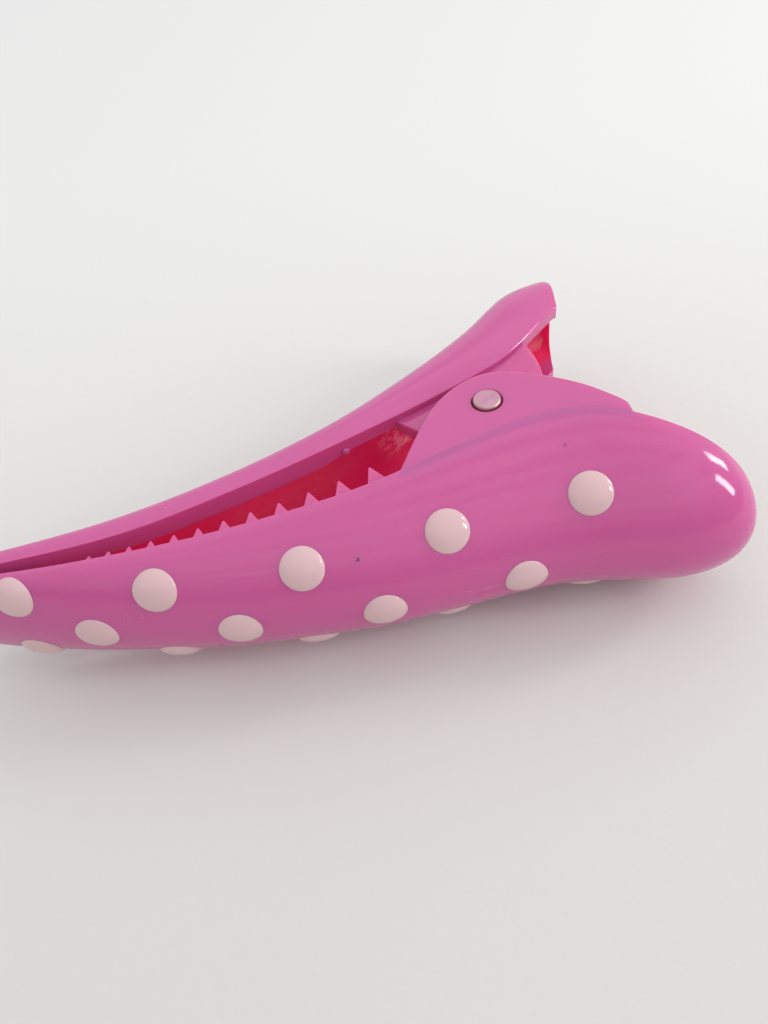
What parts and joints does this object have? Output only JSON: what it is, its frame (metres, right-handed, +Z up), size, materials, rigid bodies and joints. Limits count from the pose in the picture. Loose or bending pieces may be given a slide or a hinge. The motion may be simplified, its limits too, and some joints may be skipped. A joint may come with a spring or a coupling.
{
  "type": "sectioning clip",
  "caption": "Curved two-shell hair sectioning clip with toothed jaws, raised dots, a cross pin hinge and a torsion spring.",
  "frame": {"origin": "centre of the clip's bounding box in plan, at its lowest level as it lies on its side", "axes": "+X from the jaw tip towards the handles, +Y from the dotted front shell towards the plain back shell, +Z up along the hinge pin"},
  "size_m": [0.0772, 0.039, 0.018],
  "materials": {
    "pink_plastic": "polished opaque pink ABS",
    "dot_enamel": "glossy pale pink dome",
    "pin_steel": "satin drawn steel",
    "spring_steel": "bright spring wire"
  },
  "bodies": {
    "front_half": {"front_shell": "pink_plastic", "hinge_pin": "pin_steel", "torsion_spring": "spring_steel", "upper_dot_1": "dot_enamel", "upper_dot_2": "dot_enamel", "upper_dot_3": "dot_enamel", "upper_dot_4": "dot_enamel", "upper_dot_5": "dot_enamel", "crown_dot_1": "dot_enamel", "crown_dot_2": "dot_enamel", "crown_dot_3": "dot_enamel", "crown_dot_4": "dot_enamel", "lower_dot_1": "dot_enamel", "lower_dot_2": "dot_enamel", "lower_dot_3": "dot_enamel", "lower_dot_4": "dot_enamel", "lower_dot_5": "dot_enamel"},
    "back_half": {"back_shell": "pink_plastic"}
  },
  "joints": [
    {"name": "jaw_hinge", "type": "hinge", "parent": "front_half", "child": "back_half", "pos_m": [0.01635, -0.00304, 0.00899], "axis": [0, 0, -1], "range_deg": [0, 40], "stiffness_Nm_per_rad": 0.1, "springref_deg": -34.38, "deforming": ["torsion_spring"]}
  ]
}
